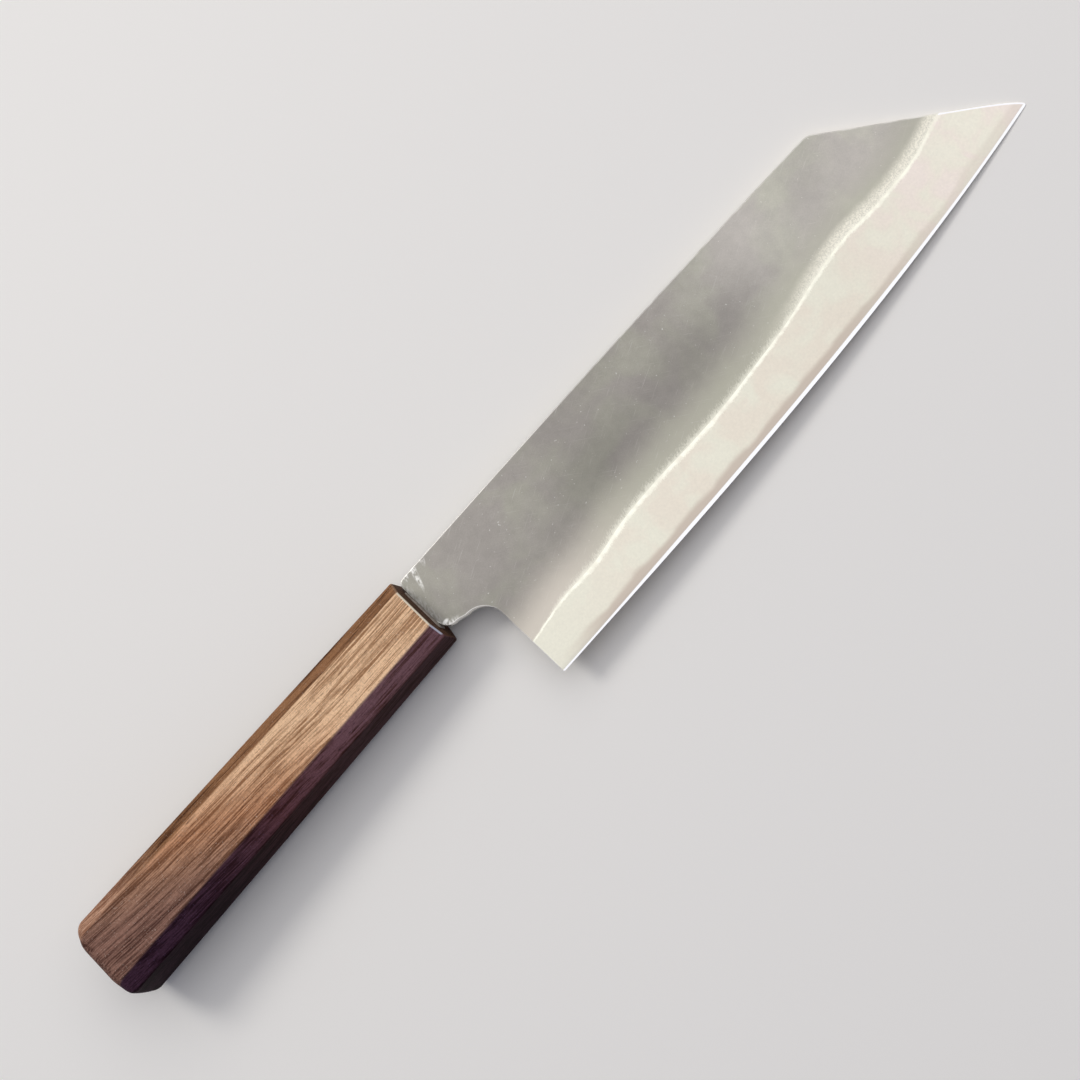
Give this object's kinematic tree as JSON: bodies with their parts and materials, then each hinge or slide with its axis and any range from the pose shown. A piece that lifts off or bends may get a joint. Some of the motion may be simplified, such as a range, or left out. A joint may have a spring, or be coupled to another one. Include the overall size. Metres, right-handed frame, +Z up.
{
  "type": "bunka knife",
  "caption": "Japanese bunka kitchen knife: flat-ground laminated blade with a clipped tip, hidden tang bedded in an octagonal wooden handle.",
  "frame": {"origin": "on the surface the knife lies on, under the middle of its bounding box", "axes": "+X along the knife from butt to tip, +Y towards the spine, +Z up, out of the right face of the blade; the knife lies on its left side, so the blade dips 2.5 degrees towards the tip"},
  "size_m": [0.3024, 0.0474, 0.0234],
  "materials": {
    "core_steel": "hard core steel, pale misty stone finish with a bright sharpened bevel",
    "cladding": "soft cladding, clouded satin grey with faint handling scratches",
    "walnut": "straight-grained walnut, oiled satin",
    "resin": "poured resin",
    "seal": "thin pale bead of sealing resin"
  },
  "bodies": {
    "root": {"core_steel": "core_steel", "right_cladding": "cladding", "left_cladding": "cladding", "handle": "walnut", "tang_bedding": "resin", "mouth_seal": "seal"}
  },
  "joints": []
}
